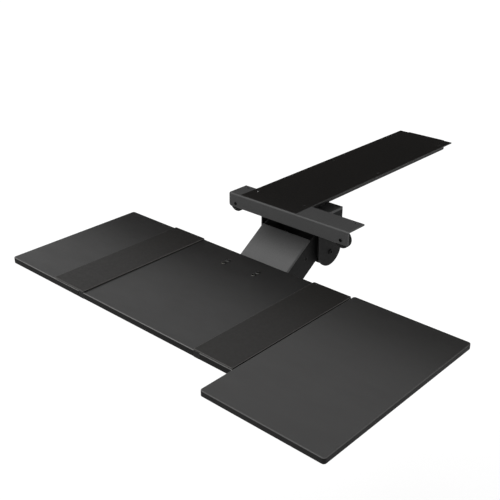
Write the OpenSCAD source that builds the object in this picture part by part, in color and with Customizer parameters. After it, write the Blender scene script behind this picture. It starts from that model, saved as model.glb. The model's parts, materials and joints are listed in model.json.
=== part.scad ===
// Under-desk keyboard tray on a lifting arm.
// Origin: on the rail's upper face, at the middle of the rail. +Y points to the rear,
// -Y to the user, +X to the user's right, +Z up. Millimetres, pulled out and ready for use.

/* [Track] */
// Length of the rail
track_len = 440; // [420:5:520]
// Clear width inside the rail
track_in_w = 72; // [66:1:74]
// Depth of the rail below its upper face
track_h = 18; // [16:0.5:20]
// Sheet thickness of the rail
track_t = 2; // [1.5:0.25:2.5]
// Width of each turned-in lip
lip_w = 10; // [8:0.5:11]
// Inner radius of the bends to the lips
track_bend = 0.5; // [0.4:0.1:1]
// Width of each screw flange beside the rail
flange_w = 16; // [14:1:18]
// Radius of the mounting screw holes
screw_hole_r = 2.5; // [2:0.25:3]
// Distance of the end screw holes from the rail's ends
hole_inset = 30; // [20:1:60]
// Thickness of the cap on the rail's rear end
cap_t = 3; // [2:0.5:5]

/* [Front bar] */
// Reach of the bar to the left of the rail's middle
bar_left = 76; // [70:1:90]
// Reach of the bar to the right of the rail's middle
bar_right = 150; // [90:1:180]
// Height of the bar's face
bar_h = 22; // [20.5:0.5:24]
// Sheet thickness of the bar
bar_t = 2.5; // [2:0.25:3]
// Depth of the bar's flange, front to rear
bar_flange = 36; // [34:1:44]
// Radius of the lower corners of the bar's face
bar_corner_r = 4; // [2:0.5:6]
// Distance of the bar's screw holes from its flange's rear edge
bar_hole_edge = 6; // [5:0.5:10]
// Radius of the rubber disc bumpers behind the bar's face
bumper_r = 13; // [10:0.5:14]
// Thickness of a bumper
bumper_t = 8; // [5:0.5:12]
// Radius of the rounding of a bumper's rear rim
bumper_round = 2; // [1:0.5:3]
// Radius of the bumper screws
bumper_screw_r = 1.25; // [1:0.25:1.5]
// Radius of the bumper screw heads
bumper_head_r = 2.5; // [2.25:0.25:3.5]
// Height of the bumper screw heads
bumper_head_h = 1; // [0.6:0.1:1.4]

/* [Carriage] */
// Length of the carriage in the rail
car_len = 108; // [96:1:116]
// Thickness of the carriage plate
car_t = 3; // [2.5:0.25:4]
// Length of a nylon glide shoe
shoe_len = 24; // [16:1:30]
// Width of a nylon glide shoe
shoe_w = 9; // [7:0.5:10]
// Length of the slanted ends of a shoe
shoe_lead = 2; // [1:0.25:2.5]
// Depth of the slot in which a shoe grips the carriage plate
shoe_grip = 6; // [4:0.5:6.5]
// Distance from the rail's front end to the carriage
front_stop = 27; // [26:1:40]
// Length of the two front stop blocks
stop_len = 12; // [8:1:20]
// Sliding travel of the carriage
slide_travel = 285; // [240:1:290]

/* [Swivel] */
// Gap between the rail and the swivel plate
swivel_drop = 3; // [2:0.5:5]
// Thickness of the swivel plate
swivel_t = 4; // [3:0.5:5]
// Radius of the swivel stud
stud_r = 9; // [7:0.5:10]
// Radius of the stud's head
stud_head_r = 14; // [12:0.5:18]
// Thickness of the stud's head
stud_head_t = 3; // [2:0.5:4]
// Radius of the washer under the swivel plate
stud_washer_r = 16; // [14:0.5:20]
// Thickness of that washer
stud_washer_t = 2; // [1:0.5:3]
// Radius across the corners of the stud's nut
stud_nut_r = 15; // [13:0.5:18]
// Height of the stud's nut
stud_nut_h = 7; // [5:0.5:8]

/* [Bracket cheeks] */
// Thickness of a cheek plate
cheek_t = 3; // [2.5:0.25:4]
// Depth of a cheek from front to rear
cheek_d = 56; // [50:1:66]
// Straight height of a cheek above its round end
cheek_straight = 58; // [48:1:66]
// Space between the arm and a cheek
cheek_gap = 8; // [4:0.5:10]
// Depth of the arm pivot below the swivel plate
pivot_drop = 34.5; // [32:0.5:38]
// Radius of the arm pivot pins
pivot_r = 5; // [4:0.25:6]
// Radius of the heads of the arm pivot pins
pivot_head_r = 8; // [7:0.25:9]
// Thickness of every pin head
pin_head_t = 2.5; // [2:0.25:3]
// Distance of the link pivot below the arm pivot
link_drop = 28.5; // [28:0.5:32]
// Radius of the link pins
link_pin_r = 3; // [2.5:0.25:3.5]
// Radius of the heads of the link pins
link_head_r = 4.5; // [4:0.25:5.5]
// Chamfer round every pin head
pin_chamfer = 0.8; // [0.4:0.1:1.2]
// Angle by which the bracket's rear wall wraps past its lowest line
web_wrap = 14; // [4:1:16]

/* [Arm] */
// Length of the arm between its pivots
arm_len = 126; // [118:1:140]
// Slope of the arm below the horizontal
arm_angle = 34; // [28:1:38]
// Width of the arm
arm_w = 96; // [90:1:104]
// Sheet thickness of the arm
arm_wall = 2.5; // [2:0.25:2.75]
// Height of the arm's top, and depth of its lower edge, from the line of its pivots
arm_half_h = 22; // [21:0.5:24]
// Outer bend radius along the arm's top edges
arm_bend_r = 3; // [3:0.25:6]
// Distance from the rear pivot to the cover plate
cover_start = 31; // [31:1:44]
// Distance from the cover plate to the front pivot
cover_end = 12; // [6:1:20]
// Radius of the arm's ears round the rear pivot
neck_r = 12; // [10:0.5:13]
// Distance from the rear pivot to the full height of the side plates
neck_rise = 30; // [26:0.5:30]
// Distance from the rear pivot to the end of the slim neck of the side plates
neck_start = 28; // [26:0.5:30]
// Distance from the rear pivot to the full depth of the side plates
neck_len = 34; // [32:0.5:36]
// Radius of the nylon spacers beside the rear pivot
arm_washer_r = 10; // [8:0.5:11]
// Radius of the tie rod between the side plates
tie_r = 3; // [2.5:0.25:5]
// Distance of the tie rod from the rear pivot
tie_s = 54; // [50:1:90]
// Height of the tie rod above the line of the pivots
tie_rise = 1.5; // [0:0.5:3]

/* [Parallel links] */
// Thickness of a link
link_t = 4; // [3:0.25:5]
// Height of a link's bar
link_h = 9; // [7:0.5:10]
// Radius of a link's ends
link_end_r = 7; // [6:0.25:7.5]
// Radius of the spacers on the rear link pin
link_spacer_r = 4.5; // [4:0.25:5]
// Space between a link and the head plate beside it
link_gap = 3; // [1:0.5:4]

/* [Head] */
// Thickness of a head plate
head_t = 3; // [2.5:0.25:3.5]
// Width of metal round each hole of the head plates
head_r = 9; // [8:0.25:10]
// Distance of the tilt axis in front of the arm's front pivot
tilt_fwd = 29; // [28:0.5:34]
// Height of the tilt axis above the arm's front pivot
tilt_up = 11; // [10:0.5:16]
// Radius of the tilt bolt
tilt_bolt_r = 4; // [3:0.25:4.5]
// Radius across the corners of the tilt bolt's head
tilt_head_r = 7.2; // [6:0.1:8]
// Height of the tilt bolt's head
tilt_head_h = 4; // [3:0.5:6]
// Radius of the tube round the tilt bolt
tilt_tube_r = 8; // [6.5:0.25:9]

/* [Tray bracket] */
// Thickness of the ears under the tray
ear_t = 3; // [2.5:0.25:3.5]
// Radius of an ear round the tilt bolt
ear_r = 10; // [9:0.25:11]
// Depth of the tilt axis below the bracket plate
ear_drop = 21; // [20:0.5:26]
// Length of an ear along the bracket plate
ear_top = 42; // [36:1:50]
// Reach of an ear behind its round end, along the bracket plate
ear_rear = 3; // [1:0.5:5]
// Thickness of the bracket plate
plate_t = 4; // [3:0.5:5]
// Width of the bracket plate
plate_w = 112; // [104:1:120]
// Length of the bracket plate in front of the tilt axis
plate_fwd = 36; // [34:1:60]
// Length of the bracket plate behind the tilt axis
plate_rear = 20; // [19:0.5:22]
// Radius of the bracket plate's corners
plate_corner_r = 6; // [2:0.5:10]
// Distance between the deck screws along X
deck_screw_dx = 60; // [50:1:66]
// Distance between the deck screws along Y
deck_screw_dy = 9.5; // [9:0.5:20]
// Distance of the rear deck screws in front of the tilt axis
deck_screw_fwd = 2; // [0:0.5:10]
// Radius of the deck screws' shanks
deck_screw_r = 2.5; // [2:0.25:3]
// Radius of the deck screws' heads
deck_screw_head_r = 4; // [3.5:0.25:4.25]
// Height of the deck screws' heads
deck_screw_head_h = 1.2; // [0.8:0.1:1.6]

/* [Deck] */
// Width of the middle deck between the straps
deck_w = 220.5; // [218:0.5:250]
// Depth of the deck from front to rear
deck_d = 240; // [226:1:260]
// Thickness of the deck boards
deck_t = 10; // [8:0.5:12]
// Distance of the deck's rear edge behind the tilt axis
deck_back = 28.5; // [22:0.5:30]
// Depth of the slanted relief under the deck's rear edge, over the arm
relief_d = 6; // [5:0.5:7]
// Clearance of that relief beside the arm
relief_side = 4; // [2:0.5:8]
// Radius on the long edges of every board
edge_r = 1.2; // [0.6:0.1:2]

/* [Straps] */
// Width of a strap
strap_w = 66; // [62:1:80]
// Sheet thickness of a strap
strap_t = 2; // [1.5:0.25:2.5]
// Radius of a strap's corners
strap_corner_r = 2; // [1:0.5:4]
// Width of a strap that is fixed on the middle deck
strap_lap = 10; // [8:0.5:12]

/* [Wings] */
// Width of a wing outside its strap
wing_out = 106; // [96:1:120]
// Space between the middle deck and a wing pushed home under the strap
wing_gap = 0.5; // [0.3:0.1:2]
// Outward travel of a wing
wing_travel = 40; // [30:1:42]
// Radius of the outer corners of a wing
wing_corner_r = 4; // [2:0.5:10]
// Space between the strap and the stop screw's head
stop_gap = 5; // [0.5:0.5:6]
// Radius of the stop screw's head
stop_head_r = 3; // [2.5:0.25:4]
// Height of the stop screw's head
stop_head_h = 1.6; // [1:0.1:2]
// Radius of the stop screw
stop_screw_r = 1.5; // [1:0.25:2]
// Distance of the stop screw behind the middle of the deck
stop_behind = 61; // [20:1:80]

/* [Runners] */
// Width of a runner bar under a wing
runner_w = 20; // [16:0.5:24]
// Thickness of a runner bar
runner_t = 5; // [4:0.25:6]
// Distance between the two runner bars of a wing
runner_pitch = 120; // [112:1:128]
// Radius of a runner bar's corners
runner_corner_r = 3; // [1:0.5:6]
// Distance of a runner's outer end from the wing's outer end
runner_inset = 24; // [16:1:40]
// Length of a guide block
guide_len = 58; // [57:0.5:62]
// Wall of a guide block beside and under its runner
guide_wall = 3.5; // [2.5:0.25:5]
// Radius of a guide block's long edges
guide_round = 2; // [1:0.25:2.5]
// Width of a guide block's screw feet
guide_foot_w = 10; // [8:0.5:12]
// Thickness of a guide block's screw feet
guide_foot_t = 3; // [2:0.25:4]
// Radius of the screw holes in the feet
guide_screw_r = 2; // [1.5:0.25:2.5]
// Distance of those holes from a guide block's ends
guide_screw_inset = 10; // [6:0.5:16]
// Distance of a guide block from the end of the middle deck
guide_inset = 2; // [1:0.5:4]
// Length of runner that stays in its guide at full travel
runner_hold = 16; // [12:1:17]

/* [Mouse platform] */
// Width of the platform
mouse_w = 177.5; // [150:0.5:200]
// Depth of the platform
mouse_d = 295; // [260:1:310]
// Thickness of the platform
mouse_t = 8.5; // [7:0.5:10]
// Distance of the platform in front of the deck's front edge
mouse_fwd = 66; // [50:1:75]
// Gap between the strap and the platform, seen from above
mouse_gap = 11.5; // [10:0.5:20]
// Height of the platform's underside above the wing
mouse_lift = 3.3; // [3.3:0.1:6]
// Radius of the platform's corners
mouse_corner_r = 4; // [3:0.5:12]
// Distance of the platform's pivot from the strap
mouse_pivot_x = 56; // [46:1:64]
// Radius of the pivot's disc
mouse_hub_r = 28; // [20:1:32]
// Radius of the pivot's stud
mouse_stud_r = 6; // [4:0.25:7]
// Depth of the stud in the platform's knob
mouse_stud_in = 12; // [8:0.5:13]
// Radius of the washer under the wing
mouse_washer_r = 15.5; // [12:0.5:18]
// Thickness of that washer
mouse_washer_t = 2; // [1:0.5:3]

/* [Knobs] */
// Radius of the tilt knob
tilt_knob_r = 18; // [14:0.5:19]
// Length of the tilt knob
tilt_knob_h = 20; // [14:1:26]
// Radius of the mouse platform's knob
mouse_knob_r = 21; // [16:0.5:24]
// Height of the mouse platform's knob
mouse_knob_h = 17; // [16:0.5:22]
// Radius of a wing's lock knob
lock_knob_r = 14; // [10:0.5:16]
// Height of a wing's lock knob
lock_knob_h = 13; // [9:0.5:16]
// Radius of a lock screw
lock_screw_r = 3; // [2:0.25:4]
// Number of lobes on every knob
knob_lobes = 6; // [5:1:8]
// Radius of a knob's lobes
knob_lobe_r = 4; // [3:0.25:4.5]
// Height of the crown on a knob's face
knob_crown = 2; // [1:0.25:3]
// Height of the collar under a knob
knob_collar_h = 4; // [2:0.5:5]
// Radius of the collar under a knob
knob_collar_r = 8; // [7:0.5:9]

/* [Fits] */
// Radial clearance of a pin or stud that turns
pin_fit = 0.05; // [0.02:0.01:0.1]
// Clearance between faces that slide or turn
run_gap = 0.3; // [0.2:0.05:0.4]
// Clearance between neighbouring plates that turn past each other
layer_gap = 1; // [0.8:0.1:1.5]
// Difference in radius between the base and the top of a screw head
head_taper = 0.8; // [0.4:0.1:1]

/* [Hidden] */
$fn = 64;
// Overrun of every cutter past the face that it opens
cut = 1;
// Angle of the turned-down corners of nuts and bolt heads
hex_chamfer = 30;

// Rail section, from its middle outwards
rail_in = track_in_w / 2;
rail_out = rail_in + track_t;
rail_flange = rail_out + flange_w;
slot_half = rail_in - lip_w;
rail_front = -track_len / 2;
rail_rear = track_len / 2;
flange_hole_x = rail_out + flange_w / 2;
lip_bend_r = track_t + track_bend;
lip_bend = [rail_out - lip_bend_r, lip_bend_r - track_h];

// Front bar
bar_notch = rail_flange + run_gap;
bar_front = rail_front - bar_t;
bar_hole_y = rail_front + bar_flange - bar_hole_edge;
bar_hole_in = (bar_left - bar_notch) / 2;
bumper_x = [-bar_left + bumper_r, bar_right - bumper_r];
bumper_z = -bar_t - run_gap - bumper_r;

// Carriage heights and places along the rail
car_z = -track_h / 2;
car_top = car_z + car_t / 2;
car_low = car_z - car_t / 2;
car_front = rail_front + front_stop;
swivel_y = car_front + car_len / 2;
shoe_x = rail_in - run_gap - shoe_w;
car_half_w = shoe_x + shoe_grip;
cap_plug = track_len - front_stop - car_len - slide_travel - layer_gap;

// Swivel heights
bearing_r = slot_half - layer_gap;
plate_top = -track_h - swivel_drop;
plate_low = plate_top - swivel_t;
washer_top = plate_low - run_gap;
washer_low = washer_top - stud_washer_t;
stud_low = washer_low - stud_nut_h;

// Pivots, as [y, z]
arm_pivot = [swivel_y, plate_low - pivot_drop];
link_pivot = arm_pivot - [0, link_drop];
front_pivot = arm_pivot - arm_len * [cos(arm_angle), sin(arm_angle)];
front_link = front_pivot - [0, link_drop];
tilt_axis = front_pivot + [-tilt_fwd, tilt_up];

// Layers across the arm, from outside to inside
arm_out = arm_w / 2;
arm_in = arm_out - arm_wall;
ear_out = arm_in - layer_gap;
ear_in = ear_out - ear_t;
head_out = ear_in - layer_gap;
head_in = head_out - head_t;
link_out = head_in - link_gap;
link_in = link_out - link_t;
cheek_in = arm_out + cheek_gap;
cheek_out = cheek_in + cheek_t;
cheek_round = [swivel_y, plate_low - cheek_straight];
cover_low = arm_half_h - arm_bend_r;

// Tray levels and edges
tray_plate_low = tilt_axis[1] + ear_drop;
deck_low = tray_plate_low + plate_t;
deck_top = deck_low + deck_t;
deck_rear = tilt_axis[0] + deck_back;
deck_front = deck_rear - deck_d;
deck_mid = (deck_front + deck_rear) / 2;
deck_end = deck_w / 2 + strap_lap;
strap_out = deck_w / 2 + strap_w;
wing_in = deck_end + wing_gap;
wing_end = strap_out + wing_out;
wing_top = deck_top - run_gap;
wing_low = wing_top - deck_t;

// Runners and guides
runner_low = wing_low - runner_t;
guide_end = deck_end - guide_inset;
guide_start = guide_end - guide_len;
guide_slot_w = runner_w + 2 * run_gap;
guide_block_w = guide_slot_w + 2 * guide_wall;
guide_full_w = guide_block_w + 2 * guide_foot_w;
runner_start = guide_end - wing_travel - runner_hold;
runner_end = wing_end - runner_inset;
guide_low = runner_low - run_gap - guide_wall;
runner_ys = [deck_mid - runner_pitch / 2, deck_mid + runner_pitch / 2];
lock_x = guide_start + guide_len / 2;
guide_screw_xs = [guide_start + guide_screw_inset, guide_end - guide_screw_inset];

// Mouse platform
mouse_left = strap_out + mouse_gap;
mouse_front = deck_front - mouse_fwd;
mouse_low = wing_top + mouse_lift;
mouse_pivot = [strap_out + mouse_pivot_x, deck_mid];
mouse_washer_top = wing_low - run_gap;
mouse_knob_top = mouse_washer_top - mouse_washer_t - run_gap;

black = "#232324";
graphite = "#3c3d3f";
steel = "#8d9094";
nylon = "#d9d6cc";
rubber = "#151516";

// Extrudes a [y, z] outline along X, from x0 over a thickness t
module along_x(x0, t) {
    translate([x0, 0, 0]) rotate([90, 0, 90]) linear_extrude(t) children();
}

// Extrudes an [x, z] outline along Y, from y0 over a length
module along_y(y0, length) {
    translate([0, y0 + length, 0]) rotate([90, 0, 0]) linear_extrude(length) children();
}

// Places what is drawn for the right side on the given side
module on_side(side) {
    if (side < 0) mirror([1, 0, 0]) children();
    else children();
}

// A cutter along Z for a hole through a wall of height h that starts at z0
module drill(z0, h, r) {
    translate([0, 0, z0 - cut]) cylinder(h = h + 2 * cut, r = r);
}

// A bar between two points with round ends
module strut(p, q, r) {
    span = q - p;
    translate(p) rotate(atan2(span[1], span[0])) {
        translate([0, -r]) square([norm(span), 2 * r]);
        circle(r);
        translate([norm(span), 0]) circle(r);
    }
}

// A quarter disc, in the first quadrant turned by an angle
module quarter(r, turn = 0) {
    rotate(turn) intersection() {
        circle(r);
        square(r);
    }
}

// A quarter bend of a sheet, by its outer radius
module quarter_bend(r, t, turn = 0) {
    difference() {
        quarter(r, turn);
        circle(r - t);
    }
}

// A rectangle with round corners, from its low corner
module round_rect(size, r) {
    translate([r, 0]) square([size[0] - 2 * r, size[1]]);
    translate([0, r]) square([size[0], size[1] - 2 * r]);
    for (x = [r, size[0] - r], y = [r, size[1] - r]) translate([x, y]) circle(r);
}

// A board with round corners in plan and every outer edge rounded, from its low corner
module board(size, corner_r) {
    across = size[0] - 2 * corner_r;
    deep = size[1] - 2 * corner_r;
    along_y(corner_r, deep) round_rect([size[0], size[2]], edge_r);
    along_x(corner_r, across) round_rect([size[1], size[2]], edge_r);
    for (i = [0, 1], j = [0, 1])
        translate([corner_r + i * across, corner_r + j * deep, 0])
            rotate(180 + 90 * (i + 3 * j - 2 * i * j)) rotate_extrude(angle = 90) {
                square([corner_r - edge_r, size[2]]);
                translate([0, edge_r]) square([corner_r, size[2] - 2 * edge_r]);
                for (z = [edge_r, size[2] - edge_r]) translate([corner_r - edge_r, z]) circle(edge_r);
            }
}

// A pin along X with a head outside each end, over the clear width between the heads
module headed_pin(at, r, half, head_r) {
    straight = pin_head_t - pin_chamfer;
    translate([-half, at[0], at[1]]) rotate([0, 90, 0]) cylinder(h = 2 * half, r = r);
    for (side = [-1, 1]) on_side(side) translate([half, at[0], at[1]]) rotate([0, 90, 0]) {
        cylinder(h = straight, r = head_r);
        translate([0, 0, straight]) cylinder(h = pin_chamfer, r1 = head_r, r2 = head_r - pin_chamfer);
    }
}

// A screw head along +Z
module screw_head(r, h) {
    cylinder(h = h, r1 = r, r2 = r - head_taper);
}

// A hexagon along +Z with the corners of both ends turned down, by its radius across the corners
module hexagon(r, h) {
    flat = r * cos(30);
    waist = flat + h / 2 / tan(hex_chamfer);
    intersection() {
        cylinder(h = h, r = r, $fn = 6);
        rotate_extrude() polygon([[0, 0], [flat, 0], [waist, h / 2], [flat, h], [0, h]]);
    }
}

// A tube along X
module tube_x(x0, x1, at, r, bore) {
    translate([x0, at[0], at[1]]) rotate([0, 90, 0]) difference() {
        cylinder(h = x1 - x0, r = r);
        drill(0, x1 - x0, bore);
    }
}

// A lobed hand knob along +Z, with a collar towards its stud and a crowned face
module knob_body(r, h) {
    crown_r = (pow(r, 2) + pow(knob_crown, 2)) / (2 * knob_crown);
    cylinder(h = knob_collar_h, r = knob_collar_r);
    intersection() {
        translate([0, 0, knob_collar_h]) linear_extrude(h - knob_collar_h) {
            circle(r - knob_lobe_r);
            for (i = [0 : knob_lobes - 1])
                rotate(360 * i / knob_lobes) translate([r - knob_lobe_r, 0]) circle(knob_lobe_r);
        }
        translate([0, 0, h - crown_r]) sphere(crown_r);
    }
}

// Rail with turned-in lips and its six screw holes
module track_rail() {
    color(black) difference() {
        along_y(rail_front, track_len) {
            translate([-rail_flange, -track_t]) square([2 * rail_flange, track_t]);
            for (side = [-1, 1]) scale([side, 1]) {
                translate([rail_in, lip_bend[1]]) square([track_t, -track_t - lip_bend[1]]);
                translate([slot_half, -track_h]) square([lip_bend[0] - slot_half, track_t]);
                translate(lip_bend) quarter_bend(lip_bend_r, track_t, -90);
            }
        }
        for (side = [-1, 1], y = [rail_front + hole_inset, 0, rail_rear - hole_inset])
            translate([side * flange_hole_x, y, 0]) drill(-track_t, track_t, screw_hole_r);
    }
}

// Angle bar across the rail's front end: a tall face, a round bend on top and a flange cut back for the rail
module front_bar() {
    bar_w = bar_left + bar_right;
    color(graphite) difference() {
        union() {
            along_y(bar_front, bar_t) {
                translate([-bar_left, bar_corner_r - bar_h]) square([bar_w, bar_h - bar_corner_r - bar_t]);
                translate([bar_corner_r - bar_left, -bar_h]) square([bar_w - 2 * bar_corner_r, bar_corner_r]);
                for (x = [bar_corner_r - bar_left, bar_right - bar_corner_r])
                    translate([x, bar_corner_r - bar_h]) circle(bar_corner_r);
            }
            along_x(-bar_left, bar_w) translate([rail_front, -bar_t]) quarter(bar_t, 90);
            for (ends = [[-bar_left, -bar_notch], [bar_notch, bar_right]])
                translate([ends[0], rail_front, -bar_t]) cube([ends[1] - ends[0], bar_flange, bar_t]);
        }
        for (x = [-bar_left + bar_hole_in, bar_right - bar_hole_in])
            translate([x, bar_hole_y, 0]) drill(-bar_t, bar_t, screw_hole_r);
        for (x = bumper_x) translate([x, rail_front, bumper_z]) rotate([90, 0, 0])
            drill(0, bar_t, bumper_screw_r + pin_fit);
    }
}

// Rubber discs behind the bar's face, with a round rear rim
module bar_bumpers() {
    rim = bumper_r - bumper_round;
    color(rubber) for (x = bumper_x) translate([x, rail_front, bumper_z]) rotate([-90, 0, 0]) difference() {
        rotate_extrude() {
            square([bumper_r, bumper_t - bumper_round]);
            square([rim, bumper_t]);
            translate([rim, bumper_t - bumper_round]) quarter(bumper_round);
        }
        drill(0, bumper_t, bumper_screw_r + pin_fit);
    }
}

// Screws through the bar's face into the bumpers
module bumper_screws() {
    color(steel) for (x = bumper_x) translate([x, bar_front, bumper_z]) {
        rotate([-90, 0, 0]) cylinder(h = bar_t + bumper_t, r = bumper_screw_r);
        rotate([90, 0, 0]) screw_head(bumper_head_r, bumper_head_h);
    }
}

// Cap with a plug in the rail's rear end
module track_end_cap() {
    color(black) {
        along_y(rail_rear, cap_t) translate([-rail_out, -track_h])
            round_rect([2 * rail_out, track_h], lip_bend_r);
        translate([-rail_in + run_gap, rail_rear - cap_plug, -track_h + track_t + run_gap])
            cube([track_in_w - 2 * run_gap, cap_plug, track_h - 2 * track_t - 2 * run_gap]);
    }
}

// Blocks that stop the shoes at the front
module track_stops() {
    color(rubber) for (side = [-1, 1]) on_side(side)
        translate([slot_half, car_front - run_gap - stop_len, -track_h + track_t])
            cube([lip_w - run_gap, stop_len, track_h - 2 * track_t]);
}

module carriage_plate() {
    color(steel) difference() {
        translate([-car_half_w, car_front, car_low]) cube([2 * car_half_w, car_len, car_t]);
        translate([0, swivel_y, 0]) drill(car_low, car_t, stud_r + pin_fit);
    }
}

// Four nylon shoes that grip the plate's corners and run between rail and lips, with slanted ends
module glide_shoes() {
    shoe_low = -track_h + track_t + run_gap;
    shoe_h = track_h - 2 * track_t - 2 * run_gap;
    side_x = shoe_w - shoe_lead;
    color(nylon) for (side = [-1, 1], y = [car_front, car_front + car_len - shoe_len]) on_side(side)
        difference() {
            translate([shoe_x, y, shoe_low]) linear_extrude(shoe_h)
                polygon([[0, 0], [side_x, 0], [shoe_w, shoe_lead], [shoe_w, shoe_len - shoe_lead],
                         [side_x, shoe_len], [0, shoe_len]]);
            translate([shoe_x - cut, y - cut, car_low]) cube([shoe_grip + cut, shoe_len + 2 * cut, car_t]);
        }
}

// Nylon thrust disc that turns in the rail's slot
module swivel_bearing() {
    height = car_low - plate_top - run_gap;
    color(nylon) translate([0, swivel_y, plate_top + run_gap]) difference() {
        cylinder(h = height, r = bearing_r);
        drill(0, height, stud_r + pin_fit);
    }
}

module swivel_stud() {
    color(steel) translate([0, swivel_y, 0]) {
        translate([0, 0, stud_low]) cylinder(h = car_top - stud_low, r = stud_r);
        translate([0, 0, car_top]) cylinder(h = stud_head_t, r = stud_head_r);
    }
}

module stud_washer() {
    color(nylon) translate([0, swivel_y, washer_low]) difference() {
        cylinder(h = stud_washer_t, r = stud_washer_r);
        drill(0, stud_washer_t, stud_r + pin_fit);
    }
}

module stud_nut() {
    color(steel) translate([0, swivel_y, stud_low]) difference() {
        hexagon(stud_nut_r, stud_nut_h);
        drill(0, stud_nut_h, stud_r + pin_fit);
    }
}

// Plate under the rail that carries both cheeks
module swivel_plate() {
    color(graphite) translate([0, swivel_y, plate_low]) difference() {
        translate([-cheek_out, -cheek_d / 2, 0]) cube([2 * cheek_out, cheek_d, swivel_t]);
        drill(0, swivel_t, stud_r + pin_fit);
    }
}

// Cheek with a round lower end
module cheek(side) {
    color(black) on_side(side) along_x(cheek_in, cheek_t) difference() {
        union() {
            translate(cheek_round - [cheek_d / 2, 0]) square([cheek_d, cheek_straight]);
            translate(cheek_round) circle(cheek_d / 2);
        }
        translate(arm_pivot) circle(pivot_r + pin_fit);
        translate(link_pivot) circle(link_pin_r + pin_fit);
    }
}

// Wall between the cheeks that closes the bracket behind the arm and wraps under it
module bracket_web() {
    inner_r = cheek_d / 2 - cheek_t;
    color(black) translate([-cheek_in, cheek_round[0], cheek_round[1]]) {
        translate([0, inner_r, 0]) cube([2 * cheek_in, cheek_t, cheek_straight]);
        rotate([0, 90, 0]) rotate(-web_wrap) rotate_extrude(angle = 90 + web_wrap)
            translate([inner_r, 0]) square([cheek_t, 2 * cheek_in]);
    }
}

module arm_pivot_pin() {
    color(steel) headed_pin(arm_pivot, pivot_r, cheek_out, pivot_head_r);
}

module link_pivot_pin() {
    color(steel) headed_pin(link_pivot, link_pin_r, cheek_out, link_head_r);
}

// Tubes that keep the links in place on the rear link pin
module link_spacers() {
    color(steel) for (side = [-1, 1]) on_side(side)
        tube_x(link_out + run_gap, cheek_in, link_pivot, link_spacer_r, link_pin_r + pin_fit);
}

// Puts the arm's own outline, along -Y and up, on its pivot at its slope
module in_arm() {
    translate([0, arm_pivot[0], arm_pivot[1]]) rotate([arm_angle, 0, 0]) children();
}

// Side plate: deep under the cover, and a slimmer neck at the rear that clears the link pin
module arm_side(side) {
    color(black) on_side(side) in_arm() along_x(arm_in, arm_wall) difference() {
        union() {
            circle(neck_r);
            polygon([[0, neck_r], [-neck_rise, cover_low], [-neck_len, cover_low], [-neck_len, -arm_half_h],
                     [-neck_start, -neck_r], [0, -neck_r]]);
            translate([-arm_len, -arm_half_h]) square([arm_len - neck_len, arm_half_h + cover_low]);
            intersection() {
                translate([-arm_len, 0]) circle(arm_half_h);
                translate([-arm_len - arm_half_h, -arm_half_h])
                    square([2 * arm_half_h, arm_half_h + cover_low]);
            }
        }
        circle(pivot_r + pin_fit);
        translate([-arm_len, 0]) circle(pivot_r + pin_fit);
        translate([-tie_s, tie_rise]) circle(tie_r + pin_fit);
    }
}

// Cover plate with a bend along each side
module arm_cover() {
    length = arm_len - cover_start - cover_end;
    flat_half = arm_out - arm_bend_r;
    color(graphite) in_arm() along_y(-cover_start - length, length) {
        translate([-flat_half, arm_half_h - arm_wall]) square([2 * flat_half, arm_wall]);
        for (side = [-1, 1]) scale([side, 1]) translate([flat_half, cover_low])
            quarter_bend(arm_bend_r, arm_wall);
    }
}

// Rod that ties the side plates, with its ends showing in them
module arm_tie_rod() {
    color(steel) in_arm() translate([-arm_out, -tie_s, tie_rise]) rotate([0, 90, 0])
        cylinder(h = arm_w, r = tie_r);
}

// Nylon spacers between the arm's ears and the cheeks
module arm_washers() {
    color(nylon) for (side = [-1, 1]) on_side(side)
        tube_x(arm_out, cheek_in - run_gap, arm_pivot, arm_washer_r, pivot_r + pin_fit);
}

// Link that runs beside the arm and keeps the head level
module link(side) {
    color(steel) on_side(side) along_x(link_in, link_t) difference() {
        union() {
            strut(link_pivot, front_link, link_h / 2);
            for (p = [link_pivot, front_link]) translate(p) circle(link_end_r);
        }
        for (p = [link_pivot, front_link]) translate(p) circle(link_pin_r + pin_fit);
    }
}

// Head plate joining the arm pivot, the link pivot and the tilt axis
module head_plate(side) {
    color(black) on_side(side) along_x(head_in, head_t) difference() {
        union() {
            strut(front_pivot, front_link, head_r);
            strut(front_link, tilt_axis, head_r);
            strut(tilt_axis, front_pivot, head_r);
            polygon([front_pivot, front_link, tilt_axis]);
        }
        translate(front_pivot) circle(pivot_r + pin_fit);
        translate(front_link) circle(link_pin_r + pin_fit);
        translate(tilt_axis) circle(tilt_bolt_r + pin_fit);
    }
}

module head_arm_pin() {
    color(steel) headed_pin(front_pivot, pivot_r, arm_out + run_gap, pivot_head_r);
}

module head_link_pin() {
    color(steel) headed_pin(front_link, link_pin_r, head_out, link_head_r);
}

// Tube round the tilt bolt that spaces the head plates
module tilt_tube() {
    color(steel) tube_x(-head_in, head_in, tilt_axis, tilt_tube_r, tilt_bolt_r + pin_fit);
}

module deck_screw_places() {
    for (side = [-1, 1], dy = [0, deck_screw_dy])
        translate([side * deck_screw_dx / 2, tilt_axis[0] - deck_screw_fwd - dy, 0]) children();
}

// Plate under the deck, cut back wherever the guide blocks reach in beside it
module tray_plate() {
    room = [guide_len, guide_full_w] + 2 * [run_gap, run_gap];
    color(black) difference() {
        translate([-plate_w / 2, tilt_axis[0] - plate_fwd, tray_plate_low]) linear_extrude(plate_t)
            round_rect([plate_w, plate_fwd + plate_rear], plate_corner_r);
        for (side = [-1, 1], y = runner_ys) on_side(side)
            translate([guide_start - run_gap, y - room[1] / 2, tray_plate_low - cut])
                cube([room[0], room[1], plate_t + 2 * cut]);
        deck_screw_places() drill(tray_plate_low, plate_t, deck_screw_r + pin_fit);
    }
}

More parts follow.
